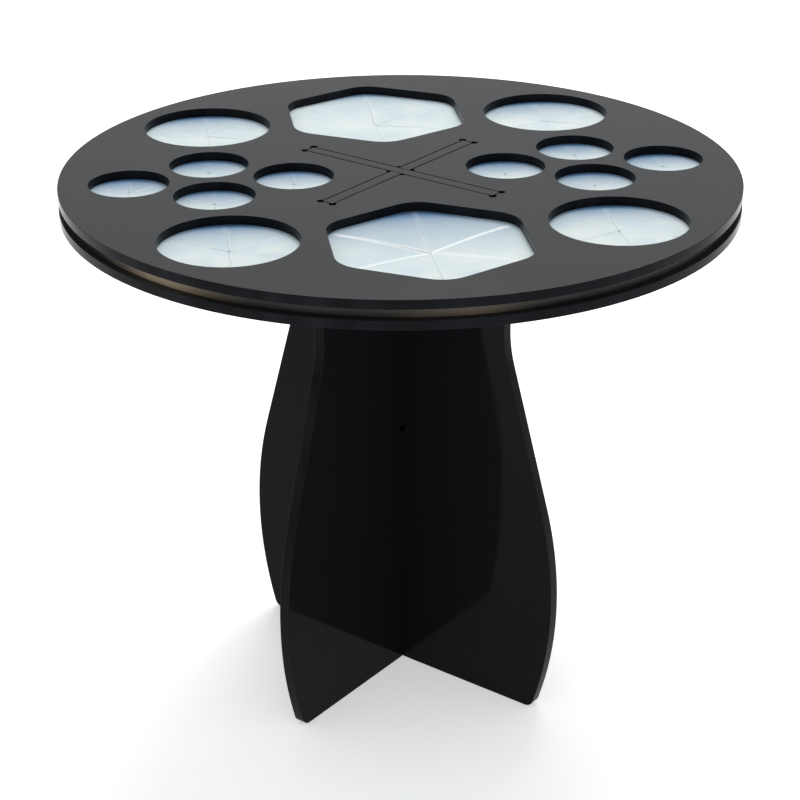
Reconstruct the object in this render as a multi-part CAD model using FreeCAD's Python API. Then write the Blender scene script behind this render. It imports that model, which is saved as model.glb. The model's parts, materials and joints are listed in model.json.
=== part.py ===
import FreeCAD, Part
import math
import os

from FreeCAD import Vector

# Round brush stand. A tray of two drilled discs clamps an elastic sheet with a star slit in
# every opening. It sits on two leg panels that halve together into an X, and each panel sends
# a tab up through the crossed slots of the tray. All sizes are in millimetres. The origin is on
# the floor under the crossing of the legs, +Z is up and -Y is the front.

# Openings of the tray
SMALL_BORE = 23.5
LARGE_BORE = 39.2
HEXAGON_FLATS = 54.0        # across the flats, with corners pointing to the front and back
HEXAGON_CORNER = 10.0       # radius of the hexagon's rounded corners

# Webs left between the openings
SMALL_WEB = 4.2             # between neighbours in a cluster of four small bores
SLOT_WEB = 8.35             # from a leg slot to the nearest small bore
HEXAGON_SLOT_WEB = 11.65    # from the end of a leg slot to the side of a hexagon
LARGE_SMALL_WEB = 5.5       # from a large bore to the nearest small bore
LARGE_HEXAGON_WEB = 7.2     # from a large bore to the flat of a hexagon
RIM_WEB = 6.5               # from the farthest opening to the rim

# Layers of the tray
DISC_THICKNESS = 2.7
SHEET_THICKNESS = 3.0
SHEET_SETBACK = 2.2         # how far the sheet's edge lies inside the rim
SLIT_WIDTH = 0.4
SLIT_MARGIN = 3.0           # from the end of a slit to the wall of its opening
SLITS_PER_STAR = 3

# Leg panels
STAND_HEIGHT = 166.0        # floor to the tray's top face
PANEL_THICKNESS = 3.6
TAB_WIDTH = 68.4            # the tab that passes up through the tray
SHOULDER = 4.9              # ledge beside the tab, which carries the tray
FLARE_DROP = 38.6           # from the tray's underside to where the sides flare out
WAIST_RADIUS = 40.0         # hollow curve where the flare starts
FLANK_BOW = 1.25            # steepness of the flank over a straight line to the belly
BELLY_WIDTH = 116.6         # widest part of a panel
BELLY_HEIGHT = 38.0         # of the widest part over the floor
FOOT_WIDTH = 103.8          # of the bottom edge before its corners are rounded
FOOT_RADIUS = 3.0

# Fits
TRAY_SLOT_CLEARANCE = 0.35  # around a tab in its slot through the tray
HALVING_CLEARANCE = 0.15    # on each side of a panel in the other's halving slot
RELIEF_BORE = 2.2           # drilled at each inside corner of a slot

# Worked out from the sizes above
SLOT_WIDTH = PANEL_THICKNESS + 2 * TRAY_SLOT_CLEARANCE
SLOT_REACH = TAB_WIDTH / 2 + TRAY_SLOT_CLEARANCE
HALVING_WIDTH = PANEL_THICKNESS + 2 * HALVING_CLEARANCE
TRAY_THICKNESS = 2 * DISC_THICKNESS + SHEET_THICKNESS
TRAY_UNDERSIDE = STAND_HEIGHT - TRAY_THICKNESS
LEG_ANGLES = (45, 135)
UP = Vector(0, 0, 1)
THROUGH = STAND_HEIGHT      # longer than anything that a cut has to pass through


def cylinder(diameter, length, x, y, z):
    """Upright cylinder that stands on the point (x, y, z)."""
    return Part.makeCylinder(diameter / 2, length, Vector(x, y, z))


def centred_box(length, width, height, z):
    """Box centred on the Z axis, standing on the level z."""
    return Part.makeBox(length, width, height, Vector(-length / 2, -width / 2, z))


def turned(shape, degrees):
    """Copy of a shape turned about the Z axis."""
    copy = shape.copy()
    copy.rotate(Vector(0, 0, 0), UP, degrees)
    return copy


def moved(shape, x, y):
    """Copy of a shape moved in the plane of the tray."""
    copy = shape.copy()
    copy.translate(Vector(x, y, 0))
    return copy


# Layout of the openings, in the quarter with positive x and y

def small_bore_places():
    """Centres of one cluster: a rhombus of two equal triangles, its long axis along x."""
    pitch = SMALL_BORE + SMALL_WEB
    half_long_axis = pitch * math.sin(math.radians(60))
    inner = math.sqrt(2) * (SMALL_BORE / 2 + SLOT_WEB + SLOT_WIDTH / 2)
    middle = inner + half_long_axis
    return {
        "inner": (inner, 0),
        "outer": (middle + half_long_axis, 0),
        "side": (middle, pitch / 2),
        "other_side": (middle, -pitch / 2),
    }


def large_bore_place():
    """Centre of a large bore, set off from the hexagon's flat and from the side small bore."""
    side_x, side_y = small_bore_places()["side"]
    x = HEXAGON_FLATS / 2 + LARGE_HEXAGON_WEB + LARGE_BORE / 2
    between = LARGE_BORE / 2 + LARGE_SMALL_WEB + SMALL_BORE / 2
    return x, side_y + math.sqrt(between ** 2 - (x - side_x) ** 2)


def hexagon_centre():
    """Distance of a hexagon's centre from the middle of the tray."""
    slot_corner_x = (SLOT_REACH - SLOT_WIDTH / 2) / math.sqrt(2)
    slot_corner_y = (SLOT_REACH + SLOT_WIDTH / 2) / math.sqrt(2)
    slope = math.tan(math.radians(30))
    lowest_corner = slot_corner_y - slope * slot_corner_x + HEXAGON_SLOT_WEB / math.cos(math.radians(30))
    return lowest_corner + HEXAGON_FLATS / math.sqrt(3)


def hexagon_reach():
    """From a hexagon's centre to the tip of its rounded corner."""
    return HEXAGON_FLATS / math.sqrt(3) - HEXAGON_CORNER * (2 / math.sqrt(3) - 1)


def tray_radius():
    """The rim stands one rim web outside the farthest opening."""
    farthest = max(
        small_bore_places()["outer"][0] + SMALL_BORE / 2,
        math.hypot(*large_bore_place()) + LARGE_BORE / 2,
        hexagon_centre() + hexagon_reach(),
    )
    return farthest + RIM_WEB


def hexagonal_prism(height, z):
    """Upright hexagonal prism on the Z axis, with rounded corners pointing along Y."""
    corner_distance = HEXAGON_FLATS / math.sqrt(3)
    corners = []
    for step in range(7):
        angle = math.radians(30 + 60 * step)
        corners.append(Vector(corner_distance * math.cos(angle), corner_distance * math.sin(angle), z))
    prism = Part.Face(Part.makePolygon(corners)).extrude(UP * height)
    upright = [edge for edge in prism.Edges if abs(edge.tangentAt(edge.FirstParameter).z) > 0.99]
    return prism.makeFillet(HEXAGON_CORNER, upright)


def star_slits(reach, z):
    """Three crossed slits, which leave six flaps, as one cutting shape on the Z axis."""
    slits = []
    for step in range(SLITS_PER_STAR):
        slit = centred_box(2 * reach, SLIT_WIDTH, SHEET_THICKNESS, z)
        slits.append(turned(slit, 90 + 180 * step / SLITS_PER_STAR))
    return slits[0].multiFuse(slits[1:])


def openings():
    """Each opening as (kind, x, y), for the whole tray."""
    large_x, large_y = large_bore_place()
    places = []
    for side in (1, -1):
        for x, y in small_bore_places().values():
            places.append(("small", side * x, y))
        for end in (1, -1):
            places.append(("large", side * large_x, end * large_y))
        places.append(("hexagon", 0, side * hexagon_centre()))
    return places


def opening_cutter(kind):
    """What an opening removes from a disc, on the Z axis."""
    if kind == "hexagon":
        return hexagonal_prism(THROUGH, TRAY_UNDERSIDE - DISC_THICKNESS)
    bore = {"small": SMALL_BORE, "large": LARGE_BORE}[kind]
    return cylinder(bore, THROUGH, 0, 0, TRAY_UNDERSIDE - DISC_THICKNESS)


def star_cutter(kind):
    """What an opening's star slit removes from the sheet, on the Z axis."""
    wall = {"small": SMALL_BORE / 2, "large": LARGE_BORE / 2, "hexagon": hexagon_reach()}[kind]
    return star_slits(wall - SLIT_MARGIN, TRAY_UNDERSIDE + DISC_THICKNESS)


def leg_slots():
    """Crossed slots for the two tabs, with a relief bore at every inside corner."""
    bottom = TRAY_UNDERSIDE - DISC_THICKNESS
    cutters = []
    for angle in LEG_ANGLES:
        cutters.append(turned(centred_box(2 * SLOT_REACH, SLOT_WIDTH, THROUGH, bottom), angle))
    for quarter in (0, 90, 180, 270):
        for side in (1, -1):
            relief = cylinder(RELIEF_BORE, THROUGH, SLOT_REACH, side * SLOT_WIDTH / 2, bottom)
            cutters.append(turned(relief, 45 + quarter))
        crossing = cylinder(RELIEF_BORE, THROUGH, SLOT_WIDTH / math.sqrt(2), 0, bottom)
        cutters.append(turned(crossing, quarter))
    return cutters


def disc(z):
    """One drilled disc of the tray, with its lower face at the level z."""
    blank = cylinder(2 * tray_radius(), DISC_THICKNESS, 0, 0, z)
    cutters = leg_slots()
    for kind, x, y in openings():
        cutters.append(moved(opening_cutter(kind), x, y))
    return blank.cut(cutters)


def membrane_sheet():
    """The elastic sheet between the discs, slit under each opening."""
    z = TRAY_UNDERSIDE + DISC_THICKNESS
    blank = cylinder(2 * (tray_radius() - SHEET_SETBACK), SHEET_THICKNESS, 0, 0, z)
    cutters = leg_slots()
    for kind, x, y in openings():
        cutters.append(moved(star_cutter(kind), x, y))
    return blank.cut(cutters)


# Leg panels, drawn upright in the XZ plane as a right half that is mirrored

def point(x, z):
    """A point of a panel's outline."""
    return Vector(x, 0, z)


def line(start, end):
    """Straight edge of an outline."""
    return Part.LineSegment(start, end).toShape()


def arc(centre, radius, first, last):
    """Edge along a circle in the XZ plane, between two angles in radians from +X towards +Z."""
    through = []
    for angle in (first, (first + last) / 2, last):
        through.append(centre + point(radius * math.cos(angle), radius * math.sin(angle)))
    return Part.Arc(*through).toShape()


def side_outline():
    """Edges of a panel's right side, from the tip of its tab down to the middle of the floor edge."""
    tab = TAB_WIDTH / 2
    waist = tab + SHOULDER
    belly = BELLY_WIDTH / 2
    flare = TRAY_UNDERSIDE - FLARE_DROP

    # The flank leaves the waist straight and runs smoothly into the upper belly arc.
    flank = math.atan(FLANK_BOW * (belly - waist) / (flare - BELLY_HEIGHT))
    upper_radius = (FLANK_BOW - 1) * (belly - waist) * math.cos(flank) / (1 - math.cos(flank))
    upper_centre = point(belly - upper_radius, BELLY_HEIGHT)

    waist_run = WAIST_RADIUS * math.tan(flank / 2)
    waist_centre = point(waist + WAIST_RADIUS, flare + waist_run)

    # The lower belly arc ends at the foot, where a small arc rounds it into the floor edge.
    tuck = belly - FOOT_WIDTH / 2
    lower_radius = (BELLY_HEIGHT ** 2 + tuck ** 2) / (2 * tuck)
    lower_centre = point(belly - lower_radius, BELLY_HEIGHT)
    drop = BELLY_HEIGHT - FOOT_RADIUS
    inset = math.sqrt((lower_radius - FOOT_RADIUS) ** 2 - drop ** 2)
    foot_centre = lower_centre + point(inset, -drop)
    foot = math.atan2(-drop, inset)

    edges = [
        arc(waist_centre, WAIST_RADIUS, math.pi, math.pi + flank),
        arc(upper_centre, upper_radius, flank, 0),
        arc(lower_centre, lower_radius, 0, foot),
        arc(foot_centre, FOOT_RADIUS, foot, -math.pi / 2),
    ]
    ends = [(edge.valueAt(edge.FirstParameter), edge.valueAt(edge.LastParameter)) for edge in edges]
    return [
        line(point(0, STAND_HEIGHT), point(tab, STAND_HEIGHT)),
        line(point(tab, STAND_HEIGHT), point(tab, TRAY_UNDERSIDE)),
        line(point(tab, TRAY_UNDERSIDE), point(waist, TRAY_UNDERSIDE)),
        line(point(waist, TRAY_UNDERSIDE), ends[0][0]),
        edges[0],
        line(ends[0][1], ends[1][0]),
        edges[1],
        edges[2],
        edges[3],
        line(ends[3][1], point(0, 0)),
    ]


def panel_blank():
    """A whole panel before its halving slot is cut, standing in the XZ plane."""
    right = side_outline()
    left = [edge.mirror(Vector(0, 0, 0), Vector(1, 0, 0)) for edge in right]
    outline = Part.Wire(Part.__sortEdges__(right + left))
    blank = Part.Face(outline).extrude(Vector(0, PANEL_THICKNESS, 0))
    blank.translate(Vector(0, -PANEL_THICKNESS / 2, 0))
    return blank


def halving_slot(opens_up):
    """Slot over half of the height for the other panel, with a relief bore in each blind corner."""
    middle = STAND_HEIGHT / 2
    bottom = middle if opens_up else -middle
    slot = centred_box(HALVING_WIDTH, THROUGH, STAND_HEIGHT, bottom)
    cutters = [slot]
    for side in (1, -1):
        corner = Vector(side * HALVING_WIDTH / 2, -THROUGH / 2, middle)
        cutters.append(Part.makeCylinder(RELIEF_BORE / 2, THROUGH, corner, Vector(0, 1, 0)))
    return cutters


def leg_panel(opens_up, angle):
    """One leg panel, turned to its diagonal of the tray."""
    return turned(panel_blank().cut(halving_slot(opens_up)), angle)


def build():
    """Every piece by the name of its node."""
    return {
        "top_disc": disc(STAND_HEIGHT - DISC_THICKNESS),
        "membrane_sheet": membrane_sheet(),
        "bottom_disc": disc(TRAY_UNDERSIDE),
        "upper_leg_panel": leg_panel(False, LEG_ANGLES[1]),
        "lower_leg_panel": leg_panel(True, LEG_ANGLES[0]),
    }


def main():
    os.makedirs("parts", exist_ok=True)
    for name, shape in build().items():
        solid = shape.Solids[0]
        solid.exportStep(f"parts/{name}.step")
        print(f"{name}: {len(shape.Solids)} solid, {solid.Volume / 1000:.1f} cm3, valid {solid.isValid()}")
    print(f"tray diameter {2 * tray_radius():.1f} mm")


main()
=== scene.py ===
# %% [markdown]
# # A round brush stand in black acrylic
#
# The stand is cut from sheet. Two discs clamp an elastic sheet between them, and every opening
# of the discs shows a piece of that sheet, slit into a star of six flaps that grip a brush. The
# tray sits on two leg panels that cross in an X. This lesson takes the exact CAD model as its
# frame and gives it broken edges, flaps that sag, and the finishes of the real sheets.

# %% Load the frame
import json
import math
import random

import bmesh
import bpy
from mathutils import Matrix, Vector


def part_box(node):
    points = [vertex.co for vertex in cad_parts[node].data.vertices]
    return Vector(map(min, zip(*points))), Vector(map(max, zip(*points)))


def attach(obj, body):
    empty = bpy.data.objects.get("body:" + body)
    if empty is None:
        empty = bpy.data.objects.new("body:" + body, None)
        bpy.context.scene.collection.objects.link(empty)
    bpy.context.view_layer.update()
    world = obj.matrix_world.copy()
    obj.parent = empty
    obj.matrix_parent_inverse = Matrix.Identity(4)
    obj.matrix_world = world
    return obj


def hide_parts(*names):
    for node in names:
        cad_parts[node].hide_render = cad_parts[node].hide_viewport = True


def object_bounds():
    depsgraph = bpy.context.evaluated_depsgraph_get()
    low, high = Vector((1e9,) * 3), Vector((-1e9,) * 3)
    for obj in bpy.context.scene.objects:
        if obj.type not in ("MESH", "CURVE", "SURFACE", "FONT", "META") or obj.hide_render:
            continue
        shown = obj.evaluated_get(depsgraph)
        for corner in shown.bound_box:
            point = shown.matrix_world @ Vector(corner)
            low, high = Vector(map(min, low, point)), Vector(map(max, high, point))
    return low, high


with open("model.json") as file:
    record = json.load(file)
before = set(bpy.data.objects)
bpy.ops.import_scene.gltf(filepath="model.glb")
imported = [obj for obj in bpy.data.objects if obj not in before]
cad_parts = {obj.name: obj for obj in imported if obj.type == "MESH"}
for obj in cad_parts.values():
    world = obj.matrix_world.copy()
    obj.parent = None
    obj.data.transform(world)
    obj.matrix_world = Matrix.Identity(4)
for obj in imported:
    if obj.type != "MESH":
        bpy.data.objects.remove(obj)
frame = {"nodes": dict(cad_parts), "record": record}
cad_low, cad_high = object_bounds()
nodes = frame["nodes"]
print("pieces of the frame:", sorted(nodes))
print("size in mm:", [round(1000 * side, 1) for side in cad_high - cad_low])

# %% [markdown]
# ## Camera
#
# A long lens about 0.64 m away looks down on the stand at about 25 degrees. A shorter lens would
# stand closer and stretch the near side of the tray. The camera is a little to the left of the
# front, so the two front legs aren't mirror images of each other.

# %% Make the camera
camera_data = bpy.data.cameras.new("camera")
camera_data.lens = 92.48
camera_data.sensor_width = 36.0
camera = bpy.data.objects.new("camera", camera_data)
camera.location = (-0.07983, -0.57072, 0.36221)
camera.rotation_euler = [math.radians(angle) for angle in (64.825, 0.148, -8.004)]
bpy.context.scene.collection.objects.link(camera)
bpy.context.scene.camera = camera
print("camera:", camera_data.lens, "mm lens")

# %% [markdown]
# ## Floor and light
#
# Black acrylic shows little colour of its own. What makes it readable is what it mirrors: the
# top of the tray mirrors the pale space behind it, and the legs mirror the floor and each other.
# So the room is an even, pale one, with one large soft lamp above and behind the stand. That
# lamp puts the far side of every opening in shadow, which shows how deep the openings are.

# %% Make the floor
FLOOR_GAP = 0.00005  # keeps the floor just clear of the feet
FLOOR_GLOW = 0.42

floor_mesh = bpy.data.meshes.new("floor")
floor_builder = bmesh.new()
bmesh.ops.create_grid(floor_builder, x_segments=1, y_segments=1, size=20.0)
floor_builder.to_mesh(floor_mesh)
floor_builder.free()
floor = bpy.data.objects.new("floor", floor_mesh)
floor.location.z = -FLOOR_GAP
bpy.context.scene.collection.objects.link(floor)

floor_material = bpy.data.materials.new("floor_paint")
floor_material.use_nodes = True
floor_shader = floor_material.node_tree.nodes["Principled BSDF"]
floor_shader.inputs["Base Color"].default_value = (0.86, 0.86, 0.86, 1.0)
floor_shader.inputs["Roughness"].default_value = 0.9
floor_shader.inputs["Specular IOR Level"].default_value = 0.0
floor_shader.inputs["Emission Color"].default_value = (1.0, 1.0, 1.0, 1.0)
floor_shader.inputs["Emission Strength"].default_value = FLOOR_GLOW
floor_mesh.materials.append(floor_material)
print("floor:", 1000 * FLOOR_GAP, "mm below the feet, glow", FLOOR_GLOW)

# %% Light the room
bpy.context.scene.view_settings.view_transform = "Standard"

room = bpy.data.worlds.new("room")
room.use_nodes = True
room_light = room.node_tree.nodes["Background"]
room_light.inputs["Color"].default_value = (0.97, 0.985, 1.0, 1.0)
room_light.inputs["Strength"].default_value = 0.72
bpy.context.scene.world = room

lamp_data = bpy.data.lights.new("overhead_lamp", "AREA")
lamp_data.shape = "SQUARE"
lamp_data.size = 0.9
lamp_data.energy = 16.0
lamp = bpy.data.objects.new("overhead_lamp", lamp_data)
lamp.location = (0.25, 0.85, 1.45)
lamp_aim = Vector((0, 0, 0.1)) - Vector(lamp.location)
lamp.rotation_euler = lamp_aim.to_track_quat("-Z", "Y").to_euler()
bpy.context.scene.collection.objects.link(lamp)
print("lamp:", lamp_data.energy, "W at", tuple(lamp.location))

# %% [markdown]
# ## Surface effects that several finishes share
#
# Two effects turn up on more than one finish, so each is a node group that is built once.
#
# * *handling* is what a used sheet of acrylic shows: wide soft smudges that dull the gloss, a
#   sprinkling of dust, and hairline scratches. A Mapping node scales before it turns, so both
#   sets of scratches run along X, and the turn only gives each set other noise.
# * *laser marks* are the fine ridges that a laser leaves down a cut edge. The beam stands
#   square to the sheet, so the ridges run straight through its thickness.
#
# Both could be painted on, but noise in the piece's own coordinates needs no image, and its
# scale is the real one because the coordinates are metres.

# %% Helpers for node groups
def new_group(name, inputs, outputs):
    """A shader node group with these sockets, and its two end nodes."""
    group = bpy.data.node_groups.new(name, "ShaderNodeTree")
    for socket_name, socket_type, value in inputs:
        socket = group.interface.new_socket(socket_name, in_out="INPUT", socket_type=socket_type)
        if value is not None:
            socket.default_value = value
    for socket_name, socket_type in outputs:
        group.interface.new_socket(socket_name, in_out="OUTPUT", socket_type=socket_type)
    start = group.nodes.new("NodeGroupInput")
    end = group.nodes.new("NodeGroupOutput")
    return group, start, end


def add(tree, kind, settings=None, **inputs):
    """A node with its settings, and its input sockets set or linked by name."""
    node = tree.nodes.new("ShaderNode" + kind)
    for setting, value in (settings or {}).items():
        setattr(node, setting, value)
    for name, value in inputs.items():
        socket = node.inputs[name.replace("_", " ")]
        if isinstance(value, bpy.types.NodeSocket):
            tree.links.new(value, socket)
        else:
            socket.default_value = value
    return node


def calculate(tree, operation, first, second=None, clamp=False):
    """The output of a Math node."""
    node = tree.nodes.new("ShaderNodeMath")
    node.operation = operation
    node.use_clamp = clamp
    for socket, value in zip(node.inputs, (first, second)):
        if isinstance(value, bpy.types.NodeSocket):
            tree.links.new(value, socket)
        elif value is not None:
            socket.default_value = value
    return node.outputs[0]


def remap(tree, value, low, high, new_low=0.0, new_high=1.0):
    """The output of a Map Range node that stays inside its new limits."""
    node = add(tree, "MapRange", Value=value)
    node.inputs["From Min"].default_value = low
    node.inputs["From Max"].default_value = high
    node.inputs["To Min"].default_value = new_low
    node.inputs["To Max"].default_value = new_high
    return node.outputs["Result"]


print("ready: groups, nodes, sums and ranges")

# %% Handling marks
handling, handling_in, handling_out = new_group(
    "handling",
    [
        ("Coordinates", "NodeSocketVector", None),
        ("Smudge Size", "NodeSocketFloat", 30.0),
        ("Dust Cover", "NodeSocketFloat", 0.1),
    ],
    [("Smudge", "NodeSocketFloat"), ("Dust", "NodeSocketFloat"), ("Scratch", "NodeSocketFloat")],
)
where = handling_in.outputs["Coordinates"]
smudges = add(
    handling, "TexNoise", Vector=where, Scale=handling_in.outputs["Smudge Size"],
    Detail=4.0, Roughness=0.55, Distortion=0.6,
)
smudge = remap(handling, smudges.outputs["Fac"], 0.42, 0.72)

dust_cells = add(handling, "TexVoronoi", Vector=where, Scale=620.0)
dust_size = remap(handling, dust_cells.outputs["Color"], 0.0, 1.0, 0.02, 0.2)
dust_spot = calculate(handling, "LESS_THAN", dust_cells.outputs["Distance"], dust_size)
dust_drift = add(handling, "TexNoise", Vector=where, Scale=55.0, Detail=3.0)
dust_there = remap(handling, dust_drift.outputs["Fac"], 0.45, 0.7)
dust_share = calculate(handling, "MULTIPLY", dust_there, handling_in.outputs["Dust Cover"])
dust = calculate(handling, "MULTIPLY", dust_spot, dust_share)

scratch_parts = []
for turn in (0.5, 2.1):
    along = add(handling, "Mapping", Vector=where)
    along.inputs["Rotation"].default_value = (0.0, 0.0, turn)
    along.inputs["Scale"].default_value = (18.0, 900.0, 18.0)
    fibres = add(handling, "TexNoise", Vector=along.outputs["Vector"], Scale=1.0, Detail=1.0)
    scratch_parts.append(remap(handling, fibres.outputs["Fac"], 0.72, 0.78))
scratch = calculate(handling, "MAXIMUM", scratch_parts[0], scratch_parts[1])

handling.links.new(smudge, handling_out.inputs["Smudge"])
handling.links.new(dust, handling_out.inputs["Dust"])
handling.links.new(scratch, handling_out.inputs["Scratch"])
print("node group:", handling.name, len(handling.nodes), "nodes")

# %% Laser marks
laser_marks, laser_in, laser_out = new_group(
    "laser_marks",
    [("Coordinates", "NodeSocketVector", None)],
    [("Ridge", "NodeSocketFloat"), ("Band", "NodeSocketFloat")],
)
fine_ridges = add(
    laser_marks, "TexNoise", Vector=laser_in.outputs["Coordinates"], Scale=1500.0, Detail=2.0
)
wide_bands = add(
    laser_marks, "TexNoise", Vector=laser_in.outputs["Coordinates"], Scale=160.0, Detail=1.0
)
laser_marks.links.new(fine_ridges.outputs["Fac"], laser_out.inputs["Ridge"])
laser_marks.links.new(wide_bands.outputs["Fac"], laser_out.inputs["Band"])
print("node group:", laser_marks.name, len(laser_marks.nodes), "nodes")

# %% [markdown]
# ## Faces of the acrylic
#
# The discs have a satin face and the legs a polished one. Both are the same black sheet, so one
# function makes both, and only the roughness, the grain and the marks differ. The faces stay
# almost black themselves. The grey of the tray is its mirror image of the room, which grows
# stronger as the face is seen at a flatter angle.

# %% Helpers for finishes
ACRYLIC_IOR = 1.49


def mix_colour(tree, share, first, second):
    """The output of a colour Mix node."""
    node = tree.nodes.new("ShaderNodeMix")
    node.data_type = "RGBA"
    for name, value in ((0, share), (6, first), (7, second)):
        if isinstance(value, bpy.types.NodeSocket):
            tree.links.new(value, node.inputs[name])
        else:
            node.inputs[name].default_value = value
    return node.outputs[2]


def new_finish(name, ior, specular):
    """A material with its node tree, its shader and the piece's own coordinates."""
    material = bpy.data.materials.new(name)
    material.use_nodes = True
    tree = material.node_tree
    shader = tree.nodes["Principled BSDF"]
    shader.inputs["IOR"].default_value = ior
    shader.inputs["Specular IOR Level"].default_value = specular
    return material, tree, shader, add(tree, "TexCoord").outputs["Object"]


def raise_surface(tree, shader, height):
    """Bends the shader's normal by a height in metres."""
    bump = add(tree, "Bump", Height=height, Strength=1.0, Distance=1.0)
    tree.links.new(bump.outputs["Normal"], shader.inputs["Normal"])


def place(tree, group, coordinates):
    """A shared effect, placed in a material's tree."""
    node = tree.nodes.new("ShaderNodeGroup")
    node.node_tree = group
    tree.links.new(coordinates, node.inputs["Coordinates"])
    return node


print("ready: colours, finishes, bumps and shared effects")

# %% A face of the acrylic
DUST_DULLS = 0.5  # how much rougher a speck of dust is
WAVE_SCALE = 14.0  # of the slight waves in a cast sheet


def acrylic_face(name, colour, dust_colour, roughness, smudge_roughness, grain, marks, specular):
    """Black sheet acrylic: roughness moves with the smudges, and the grain is a fine bump."""
    material, tree, shader, coordinates = new_finish(name, ACRYLIC_IOR, specular)
    marking = place(tree, handling, coordinates)
    marking.inputs["Smudge Size"].default_value = marks["smudge_size"]
    marking.inputs["Dust Cover"].default_value = marks["dust"]
    tree.links.new(
        mix_colour(tree, marking.outputs["Dust"], colour, dust_colour), shader.inputs["Base Color"]
    )

    smudged = remap(tree, marking.outputs["Smudge"], 0.0, 1.0, roughness, smudge_roughness)
    specks = calculate(tree, "MULTIPLY", marking.outputs["Dust"], DUST_DULLS)
    dusted = calculate(tree, "ADD", smudged, specks)
    scratched = calculate(tree, "MULTIPLY", marking.outputs["Scratch"], marks["scratch"])
    rough = calculate(tree, "ADD", dusted, scratched, clamp=True)
    tree.links.new(rough, shader.inputs["Roughness"])

    texture = add(tree, "TexNoise", Vector=coordinates, Scale=grain["scale"], Detail=3.0)
    waves = add(tree, "TexNoise", Vector=coordinates, Scale=WAVE_SCALE, Detail=0.0)
    height = calculate(
        tree, "ADD",
        calculate(tree, "MULTIPLY", texture.outputs["Fac"], grain["height"]),
        calculate(tree, "MULTIPLY", waves.outputs["Fac"], grain["wave_height"]),
    )
    raise_surface(tree, shader, height)
    return material


print("ready: acrylic_face, with a refraction of", ACRYLIC_IOR)

# %% Make the satin and the polished face
satin_face = acrylic_face(
    "satin_black_acrylic",
    colour=(0.0105, 0.0110, 0.0118, 1.0),
    dust_colour=(0.16, 0.16, 0.165, 1.0),
    roughness=0.26,
    smudge_roughness=0.34,
    grain={"scale": 2600.0, "height": 0.0000050, "wave_height": 0.000002},
    marks={"smudge_size": 26.0, "dust": 0.35, "scratch": 0.05},
    specular=0.165,
)
polished_face = acrylic_face(
    "polished_black_acrylic",
    colour=(0.0075, 0.0078, 0.0092, 1.0),
    dust_colour=(0.10, 0.10, 0.105, 1.0),
    roughness=0.055,
    smudge_roughness=0.12,
    grain={"scale": 900.0, "height": 0.0000004, "wave_height": 0.000012},
    marks={"smudge_size": 34.0, "dust": 0.22, "scratch": 0.03},
    specular=0.045,
)
print("finishes:", satin_face.name, "and", polished_face.name)

# %% [markdown]
# ## Cut edges
#
# A laser cut is smoother than a sawn one and glossier than the satin face, with fine ridges.
# Squeezing the coordinates in one direction draws each ridge of the noise out into a line along
# it. The Mapping node squeezes before it turns, so on every piece the lines run straight down:
# through the thickness of a disc, and along the side of a leg panel. The turn only gives each
# panel other noise.

# %% A cut edge
UP = Vector((0, 0, 1))
SQUEEZE = 0.02  # of the coordinates along the ridges
PALER_BAND = 1.9  # how much lighter the wide bands are
BAND_ROUGHNESS = (0.7, 1.3)  # least and most, as a share of the edge's own


def cut_edge(name, through, colour, roughness, ridge_height, specular):
    """Laser-cut edge of a sheet whose thickness runs along the direction `through`."""
    material, tree, shader, coordinates = new_finish(name, ACRYLIC_IOR, specular)
    squeezed = add(tree, "Mapping", Vector=coordinates)
    squeezed.inputs["Rotation"].default_value = through.rotation_difference(UP).to_euler()
    squeezed.inputs["Scale"].default_value = (1.0, 1.0, SQUEEZE)
    marks = place(tree, laser_marks, squeezed.outputs["Vector"])

    paler = tuple(PALER_BAND * part for part in colour[:3]) + (1.0,)
    shade = mix_colour(tree, remap(tree, marks.outputs["Band"], 0.4, 0.7), colour, paler)
    tree.links.new(shade, shader.inputs["Base Color"])
    least, most = (roughness * share for share in BAND_ROUGHNESS)
    rough = remap(tree, marks.outputs["Band"], 0.35, 0.7, least, most)
    tree.links.new(rough, shader.inputs["Roughness"])
    ridges = calculate(tree, "MULTIPLY", marks.outputs["Ridge"], ridge_height)
    raise_surface(tree, shader, ridges)
    return material


print("ready: cut_edge, squeezed to", SQUEEZE)

# %% Make the cut edges
disc_edge = cut_edge(
    "disc_cut_edge", UP, (0.0052, 0.0057, 0.0072, 1.0), roughness=0.2, ridge_height=0.000006,
    specular=0.055,
)
panel_directions = {
    "lower_leg_panel": Vector((1, -1, 0)).normalized(),
    "upper_leg_panel": Vector((1, 1, 0)).normalized(),
}
panel_edges = {}
for panel, through in panel_directions.items():
    panel_edges[panel] = cut_edge(
        panel + "_cut_edge", through, (0.0045, 0.0046, 0.0054, 1.0), roughness=0.22,
        ridge_height=0.000006, specular=0.045,
    )
print("cut edges:", disc_edge.name, *[material.name for material in panel_edges.values()])

# %% [markdown]
# ## The rigid sheets
#
# The outlines of the discs and the leg panels are already exact in the frame, so they aren't
# drawn again. A copy of each is merged from its loose triangles, its flat faces are made whole,
# and a bevel of 0.15 mm takes the knife sharpness off every cut. Without it no edge would ever
# catch the light. Faces that run through the thickness of the sheet get the cut-edge finish, and
# the ends of the tabs, which lie flush with the tray, get its satin face.

# %% Copy a sheet of the frame and make it a piece
MERGE_DISTANCE = 1e-6
FLAT_WITHIN = math.radians(0.5)


def merged_copy(node):
    """A bmesh of a frame node with its triangles joined into whole faces."""
    mesh = bmesh.new()
    mesh.from_mesh(nodes[node].data)
    bmesh.ops.remove_doubles(mesh, verts=mesh.verts, dist=MERGE_DISTANCE)
    bmesh.ops.dissolve_limit(
        mesh, angle_limit=FLAT_WITHIN, verts=mesh.verts, edges=mesh.edges
    )
    return mesh


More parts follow.
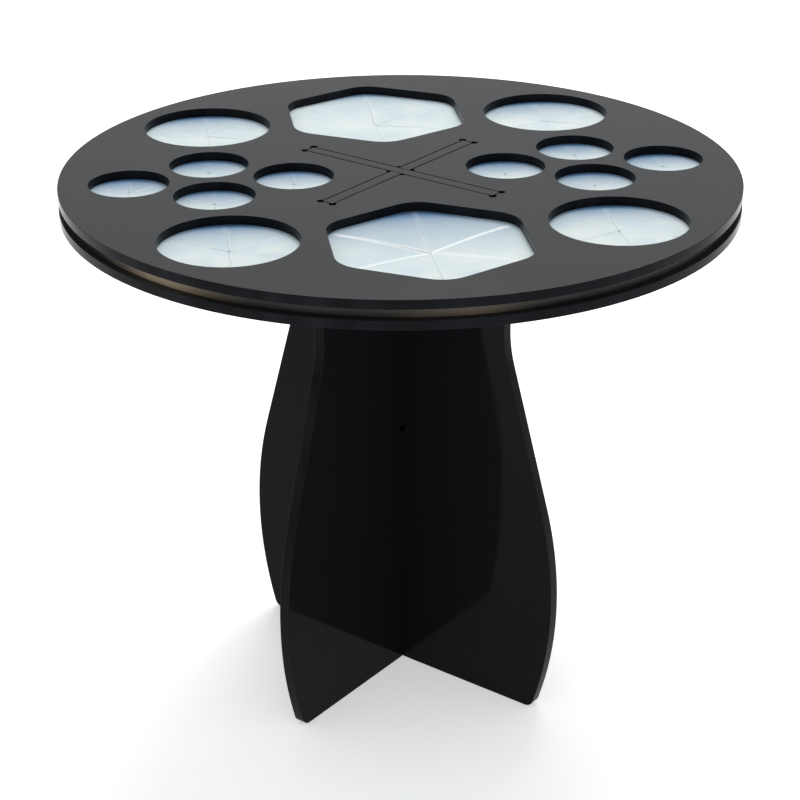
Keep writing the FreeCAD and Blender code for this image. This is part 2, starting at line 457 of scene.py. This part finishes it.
def add_piece(name, mesh, materials, node, body):
    """Turns a finished bmesh into the piece that stands for a frame node."""
    data = bpy.data.meshes.new(name)
    mesh.to_mesh(data)
    mesh.free()
    for material in materials:
        data.materials.append(material)
    piece = bpy.data.objects.new(name, data)
    bpy.context.scene.collection.objects.link(piece)
    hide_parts(node)
    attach(piece, body)
    return piece


print("ready: merged_copy and add_piece")

# %% Break its edges and give it its finishes
EDGE_BREAK = 0.00015
SHARP = math.radians(35)
FACING = 0.9  # cosine past which a face counts as facing a direction
TOP_BAND = 0.001  # below the top of the stand, where the tabs end


def sheet_piece(node, through, face_material, edge_material, body):
    """A rigid sheet with broken edges, a face finish and a cut-edge finish."""
    mesh = merged_copy(node)
    sharp_edges = [edge for edge in mesh.edges if edge.calc_face_angle(0.0) > SHARP]
    bmesh.ops.bevel(
        mesh, geom=sharp_edges, offset=EDGE_BREAK, offset_type="OFFSET", segments=2,
        profile=0.5, affect="EDGES", material=-1, clamp_overlap=True,
    )
    bmesh.ops.remove_doubles(mesh, verts=mesh.verts, dist=MERGE_DISTANCE)
    for face in mesh.faces:
        at_top = face.calc_center_median().z > cad_high.z - TOP_BAND
        face.smooth = True
        face.material_index = 0 if abs(face.normal.dot(through)) > FACING else 1
        if face.normal.z > FACING and at_top:
            face.material_index = 2
    materials = [face_material, edge_material, satin_face]
    piece = add_piece(node + "_sheet", mesh, materials, node, body)
    weighted = piece.modifiers.new("weighted_normals", "WEIGHTED_NORMAL")
    weighted.keep_sharp = True
    weighted.weight = 60
    print(piece.name, len(piece.data.polygons), "faces")
    return piece


print("ready: sheet_piece, with a bevel of", 1000 * EDGE_BREAK, "mm")

# %% Make the discs and the leg panels
for disc in ("top_disc", "bottom_disc"):
    sheet_piece(disc, UP, satin_face, disc_edge, "tray")
for panel, body in (("lower_leg_panel", "lower_leg"), ("upper_leg_panel", "upper_leg")):
    sheet_piece(
        panel, panel_directions[panel], polished_face, panel_edges[panel], body
    )

# %% [markdown]
# ## The elastic sheet
#
# The sheet is a milky elastomer. In every opening three crossed slits leave six flaps. Their
# tips hang a little, most in the big hexagons, and the cut edges carry a painted highlight that
# makes them white. A cloth simulation could let the flaps hang, but this sheet is 3 mm thick
# and sags by less than 2 mm, so the shape of a bent wedge is enough. The work starts from the
# frame's record, which names each opening and says where it is.

# %% Find the openings of the tray
openings = []
for opening in frame["record"]["physics"]["openings"]:
    if opening["name"].endswith("_above"):
        low, high = (Vector(corner) for corner in opening["box_m"])
        centre = (low + high) / 2
        openings.append((opening["name"].split("_")[0], Vector((centre.x, centre.y, 0.0))))
print("openings:", len(openings))

# %% [markdown]
# A merged copy of the frame's sheet already has its slits in the right places, but its flat
# faces are too large to bend. Subdividing them evenly would take many more faces, because they
# have to be small beside the slits. Planes that cut parallel to the slits follow the flaps
# instead, close together at the slits and wide apart elsewhere. Each star is cut only inside the
# hexagon round it, and a few more cuts give the later shading its own lines of vertices.

# %% Helpers that cut beside a slit
SLIT_DIRECTIONS = [math.radians(angle) for angle in (90, 150, 210)]


def side_of(point, centre, direction):
    """Distance of a point from a line through the centre in this direction."""
    return (point.y - centre.y) * math.cos(direction) - (point.x - centre.x) * math.sin(direction)


def square_to(direction):
    """The level direction that is square to this one."""
    return Vector((-math.sin(direction), math.cos(direction), 0.0))


def parts_of(faces):
    """These faces with their edges and vertices, as the operators want them."""
    edges = {edge for face in faces for edge in face.edges}
    vertices = {vertex for face in faces for vertex in face.verts}
    return list(vertices) + list(edges) + list(faces)


def cut_across(mesh, geometry, point, normal):
    """Cuts along the plane through this point, and returns what lies there now."""
    result = bmesh.ops.bisect_plane(
        mesh, geom=geometry, plane_co=point, plane_no=normal, dist=MERGE_DISTANCE
    )
    return result["geom"]


def cut_beside(mesh, geometry, centre, direction, distance):
    """Cuts along both lines at this distance from the line through the centre."""
    normal = square_to(direction)
    for side in (1, -1):
        geometry = cut_across(mesh, geometry, centre + normal * side * distance, normal)
    return geometry


print("slits run at", [round(math.degrees(direction)) for direction in SLIT_DIRECTIONS])

# %% Helpers that choose the faces to cut
def faces_near(faces, centre, reach):
    """Faces whose box comes within this distance of the centre along X and along Y."""
    found = []
    for face in faces:
        offsets = [vertex.co - centre for vertex in face.verts]
        lowest = max(min(offset.x for offset in offsets), min(offset.y for offset in offsets))
        highest = min(max(offset.x for offset in offsets), max(offset.y for offset in offsets))
        if lowest < reach and highest > -reach:
            found.append(face)
    return found


def star_faces(faces, centre, border):
    """Those of the faces that lie in the hexagon round a star."""
    found = []
    for face in faces:
        middle = face.calc_center_median()
        if all(abs(side_of(middle, centre, direction)) < border for direction in SLIT_DIRECTIONS):
            found.append(face)
    return found


print("ready: faces_near and star_faces")

# %% Cut the sheet into a mesh that can bend
STAR_REACH = {"small": 0.00875, "large": 0.0166, "hexagon": 0.02663}
BORDER = {"small": 0.01205, "large": 0.0199, "hexagon": 0.02783}
MARGIN = 1.2  # of a star's size, for finding what is near it
CUT_STEPS = (0.0005, 0.0011, 0.0022, 0.004, 0.0065, 0.0095, 0.013, 0.017, 0.0215, 0.026)
SHADE_STEPS = (-0.55, -0.2, 0.1, 0.4, 0.65, 0.82, 0.92)

sheet = bmesh.new()
sheet.from_mesh(nodes["membrane_sheet"].data)
bmesh.ops.remove_doubles(sheet, verts=sheet.verts, dist=MERGE_DISTANCE)
flat_area = sum(face.calc_area() for face in sheet.faces if face.normal.z > FACING)
for kind, centre in openings:
    border = BORDER[kind]
    geometry = parts_of(faces_near(sheet.faces, centre, MARGIN * border))
    for direction in SLIT_DIRECTIONS:
        geometry = cut_beside(sheet, geometry, centre, direction, border)
    faces = [part for part in geometry if isinstance(part, bmesh.types.BMFace)]
    geometry = parts_of(star_faces(faces, centre, border))
    for direction in SLIT_DIRECTIONS:
        for step in CUT_STEPS:
            if step < STAR_REACH[kind]:
                geometry = cut_beside(sheet, geometry, centre, direction, step)
    for step in SHADE_STEPS:
        point = centre + Vector((0, step * border, 0))
        geometry = cut_across(sheet, geometry, point, (0, 1, 0))
print("sheet:", len(sheet.faces), "faces", round(1e6 * flat_area), "mm2 flat")

# %% [markdown]
# Each flap is a wedge held at its wide end, and bends more and more freely toward its tip. The
# frame's slits are 0.4 mm wide, so that its flaps are separate tongues. A knife cut has no width,
# so here the walls of each slit come together until 0.02 mm is left, and its upper edges stand
# up a little, as the lips of a cut in soft rubber can do.

# %% Helpers for a flap
def limited(share):
    """Keeps a share between 0 and 1."""
    return min(max(share, 0.0), 1.0)


def flap_share(offset, reach):
    """Which of the six flaps a point is in, and how far along it is from its root to its tip."""
    angle = math.degrees(math.atan2(offset.y, offset.x)) - 90
    along = offset.length * math.cos(math.radians(angle % 60 - 30))
    root = reach * math.cos(math.radians(30))
    return int(angle % 360 // 60), limited((root - along) / root)


def wedge_sag(share):
    """Sag of a wedge held at its wide end, as a share of what its tip hangs."""
    return share ** 2 * (3 - share) / 2


print("sag along a flap:", [round(wedge_sag(share / 4), 2) for share in range(5)])

# %% Let the flaps hang and close their slits
TIP_DROP = {"small": 0.00015, "large": 0.0006, "hexagon": 0.0017}
HALF_SLIT = 0.0002
CLOSED_HALF_SLIT = 0.00001
WALL_WITHIN = 1.5 * HALF_SLIT  # of a slit's middle, where its walls are found
SLIT_FADE = 0.001  # over which a slit closes, from its end inward
LIP_HEIGHT = 0.00012
NEAR = 0.0001  # how far a vertex may be from the place where it belongs

sheet_low, sheet_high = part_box("membrane_sheet")
random.seed(7)
for kind, centre in openings:
    reach = STAR_REACH[kind]
    tip_drops = [TIP_DROP[kind] * random.uniform(0.8, 1.2) for flap in range(6)]
    for vertex in sheet.verts:
        offset = vertex.co.xy - centre.xy
        if offset.length > MARGIN * reach:
            continue
        flap, share = flap_share(offset, reach)
        drop = tip_drops[flap] * wedge_sag(share)
        for direction in SLIT_DIRECTIONS:
            aside = side_of(vertex.co, centre, direction)
            if abs(aside) < WALL_WITHIN and offset.length < reach + NEAR:
                fade = limited((reach - offset.length) / SLIT_FADE)
                closed = math.copysign(CLOSED_HALF_SLIT, aside)
                vertex.co += square_to(direction) * (closed - aside) * fade
                if vertex.co.z > sheet_high.z - NEAR:
                    drop -= LIP_HEIGHT * fade
        vertex.co.z -= drop
tip = min(vertex.co.z for vertex in sheet.verts)
print("lowest tip hangs", round(1000 * (sheet_low.z - tip), 2), "mm")

# %% [markdown]
# The milky sheet scatters blue light more than red. So it looks bluish where dark things lie
# behind it and cream where light comes through it. Subsurface scattering alone doesn't tell these
# places apart. So three masks, kept as attributes on the vertices, paint light and shade into the
# sheet's colour: a painted highlight, painted shade and a painted glow. They don't move with the
# view, and suit the front of the stand best:
#
# * *slit* is a painted highlight that makes the edges of the slits white.
# * *shade* grows toward the back of each opening. There the disc's wall keeps the light off, and
#   behind the front hexagon stand the dark legs.
# * a third mask is a painted glow on the rim, strongest where the front-left large opening is
#   near.

# %% Mark the painted highlight of the slits and the shaded side of each opening
# The slit mask is a painted highlight beside each slit, strongest on two front hexagon slits.
WHITE_WIDTH = 0.0011
SLIT_HIGHLIGHT = {"small": (0.10,) * 3, "large": (0.16,) * 3, "hexagon": (0.22,) * 3}
FRONT_HEXAGON_SLIT_HIGHLIGHT = (0.15, 0.9, 0.9)
SHADE = {"small": (1.1, 1.0), "large": (1.0, 2.0), "hexagon": (0.3, 2.0)}
FRONT_HEXAGON_SHADE = (0.8, 1.3)
WALL_SHADE = (0.6, 14)
SHADE_START = -0.3  # where it begins, from the centre toward the back, as a share of the border

slit_layer = sheet.verts.layers.float.new("slit")
shade_layer = sheet.verts.layers.float.new("shade")
for kind, centre in openings:
    slit_highlight = SLIT_HIGHLIGHT[kind]
    strength, power = SHADE[kind]
    if kind == "hexagon" and centre.y < 0:
        slit_highlight = FRONT_HEXAGON_SLIT_HIGHLIGHT
        strength, power = FRONT_HEXAGON_SHADE
    for vertex in sheet.verts:
        offset = vertex.co.xy - centre.xy
        asides = [abs(side_of(vertex.co, centre, direction)) for direction in SLIT_DIRECTIONS]
        if max(asides) < BORDER[kind] + MERGE_DISTANCE:
            depth = limited((offset.y / BORDER[kind] - SHADE_START) / (1 - SHADE_START))
            wall_shade = WALL_SHADE[0] * depth ** WALL_SHADE[1]
            vertex[shade_layer] = strength * depth ** power + wall_shade
        if offset.length < STAR_REACH[kind] + NEAR:
            for aside, highlight in zip(asides, slit_highlight):
                marking = limited((WHITE_WIDTH - aside) / (WHITE_WIDTH - HALF_SLIT))
                vertex[slit_layer] = max(vertex[slit_layer], highlight * marking)
print("most shade:", round(max(vertex[shade_layer] for vertex in sheet.verts), 2))

# %% Mark the painted glow on the rim
# Each painted glow has its angle round the rim in degrees, its strength, and its spread in
# degrees.
PAINTED_GLOWS = ((-138, 0.62, 8.5), (-88, 0.2, 8), (-45, 0.06, 12), (45, 0.12, 12), (135, 0.12, 12))
RIM_DEPTH = 0.0002
painted_glow_layer = sheet.verts.layers.float.new("painted_glow")
sheet_radius = max(vertex.co.xy.length for vertex in sheet.verts)
for vertex in sheet.verts:
    if vertex.co.xy.length > sheet_radius - RIM_DEPTH:
        angle = math.degrees(math.atan2(vertex.co.y, vertex.co.x))
        painted_glow = 0.0
        for middle, strength, spread in PAINTED_GLOWS:
            away = abs((angle - middle + 180) % 360 - 180)
            painted_glow += strength * math.exp(-((away / spread) ** 2))
        vertex[painted_glow_layer] = painted_glow
print("most leak:", round(max(vertex[painted_glow_layer] for vertex in sheet.verts), 2))

# %% [markdown]
# The face of the sheet is a shader with some subsurface scattering, which rounds off its shadows
# and lets light pass under the lips of the slits. The rim lies back between the black discs,
# where little light arrives, and its finish paints that shade: a dark colour, with a painted amber
# glow that also gives off light.

# %% Make the milky finish
ELASTOMER_IOR = 1.42


def attribute(tree, name):
    """The value of a piece's own attribute."""
    return add(tree, "Attribute", {"attribute_name": name}).outputs["Fac"]


milky, tree, shader, coordinates = new_finish(
    "milky_elastomer", ELASTOMER_IOR, specular=0.35
)
shader.inputs["Subsurface Weight"].default_value = 0.35
shader.inputs["Subsurface Radius"].default_value = (1.0, 0.7, 0.5)
shader.inputs["Subsurface Scale"].default_value = 0.003

clouds = add(tree, "TexNoise", Vector=coordinates, Scale=120.0, Detail=3.0).outputs["Fac"]
cloudy = mix_colour(
    tree, remap(tree, clouds, 0.35, 0.65), (0.56, 0.65, 0.67, 1.0), (0.64, 0.70, 0.68, 1.0)
)
shade = attribute(tree, "shade")
bluish = mix_colour(tree, shade, cloudy, (0.09, 0.19, 0.33, 1.0))
darkest = mix_colour(tree, remap(tree, shade, 1.0, 1.6), bluish, (0.03, 0.05, 0.09, 1.0))
# The slit mask mixes in a painted highlight.
highlighted = mix_colour(tree, attribute(tree, "slit"), darkest, (0.90, 0.92, 0.90, 1.0))
tree.links.new(highlighted, shader.inputs["Base Color"])
tree.links.new(remap(tree, clouds, 0.3, 0.7, 0.38, 0.55), shader.inputs["Roughness"])

skin = add(tree, "TexNoise", Vector=coordinates, Scale=1400.0, Detail=2.0).outputs["Fac"]
raise_surface(tree, shader, calculate(tree, "MULTIPLY", skin, 0.00001))
print("finish:", milky.name)

# %% Make the rim's finish: painted shade with a painted glow
RIM_IOR = 1.5  # the shader's own default

rim, tree, shader, coordinates = new_finish("elastomer_rim", RIM_IOR, specular=0.3)
# The rim gives off light from its painted glow, though it is no lamp.
shader.inputs["Emission Strength"].default_value = 1.0

streaks = add(tree, "TexNoise", Vector=coordinates, Scale=90.0, Detail=2.0).outputs["Fac"]
painted_glow = calculate(
    tree, "MULTIPLY", attribute(tree, "painted_glow"), remap(tree, streaks, 0.3, 0.7, 0.75, 1.1)
)
# The rim's dark colour is painted shade, and the amber mixed in is its painted glow.
amber = mix_colour(tree, painted_glow, (0.012, 0.011, 0.010, 1.0), (0.24, 0.19, 0.12, 1.0))
glow = mix_colour(tree, painted_glow, (0.0, 0.0, 0.0, 1.0), (0.13, 0.105, 0.068, 1.0))
tree.links.new(amber, shader.inputs["Base Color"])
tree.links.new(glow, shader.inputs["Emission Color"])
tree.links.new(remap(tree, streaks, 0.3, 0.7, 0.3, 0.45), shader.inputs["Roughness"])
print("finish:", rim.name)

# %% [markdown]
# The sheet is stretched flat between the discs and moves with the tray. The flaps bend only when
# a brush goes through, which no joint of the frame does, so they keep their rest shape. The upper
# and lower faces are smooth, to shade as one bent surface, and the walls of the slits stay flat.

# %% Put the sheet in the tray
LEVEL = 0.5  # cosine past which a face counts as one of the sheet's faces, not a wall

for face in sheet.faces:
    on_rim = all(vertex.co.xy.length > sheet_radius - RIM_DEPTH for vertex in face.verts)
    face.material_index = 1 if on_rim and abs(face.normal.z) < LEVEL else 0
    face.smooth = abs(face.normal.z) > LEVEL
membrane = add_piece("membrane", sheet, [milky, rim], "membrane_sheet", "tray")
print("membrane:", len(membrane.data.polygons), "faces")
